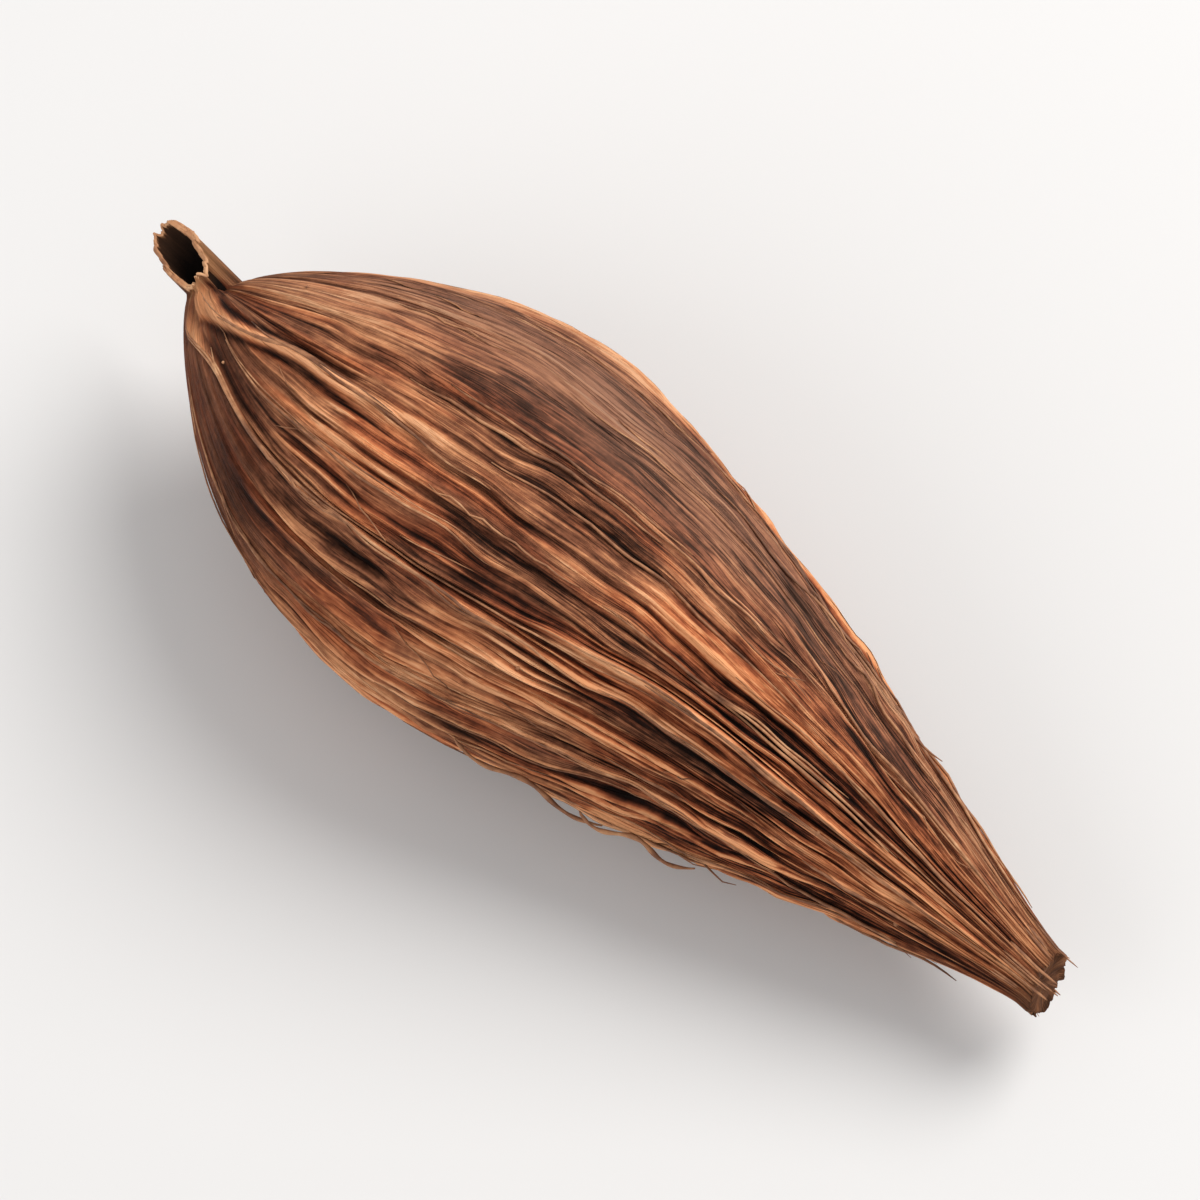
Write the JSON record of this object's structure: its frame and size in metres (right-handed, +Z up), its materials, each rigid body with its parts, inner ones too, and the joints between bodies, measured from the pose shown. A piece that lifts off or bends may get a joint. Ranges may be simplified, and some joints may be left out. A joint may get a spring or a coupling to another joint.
{
  "type": "black cardamom pod",
  "caption": "Dried black cardamom pod: a ribbed, spindle-shaped seed capsule with a torn beak at one end and a stub of stalk at the other, lying on its side.",
  "frame": {"origin": "on the surface that the pod rests on, under the middle of its length and width", "axes": "+X along the pod from the beak towards the stalk, +Y across it, +Z up from the surface"},
  "size_m": [0.0299, 0.0107, 0.0097],
  "materials": {
    "husk": "dry, fibrous, dull brown husk: tan to orange-brown crests, near-black grooves between the ribs"
  },
  "bodies": {
    "root": {"pod": "husk"}
  },
  "joints": []
}
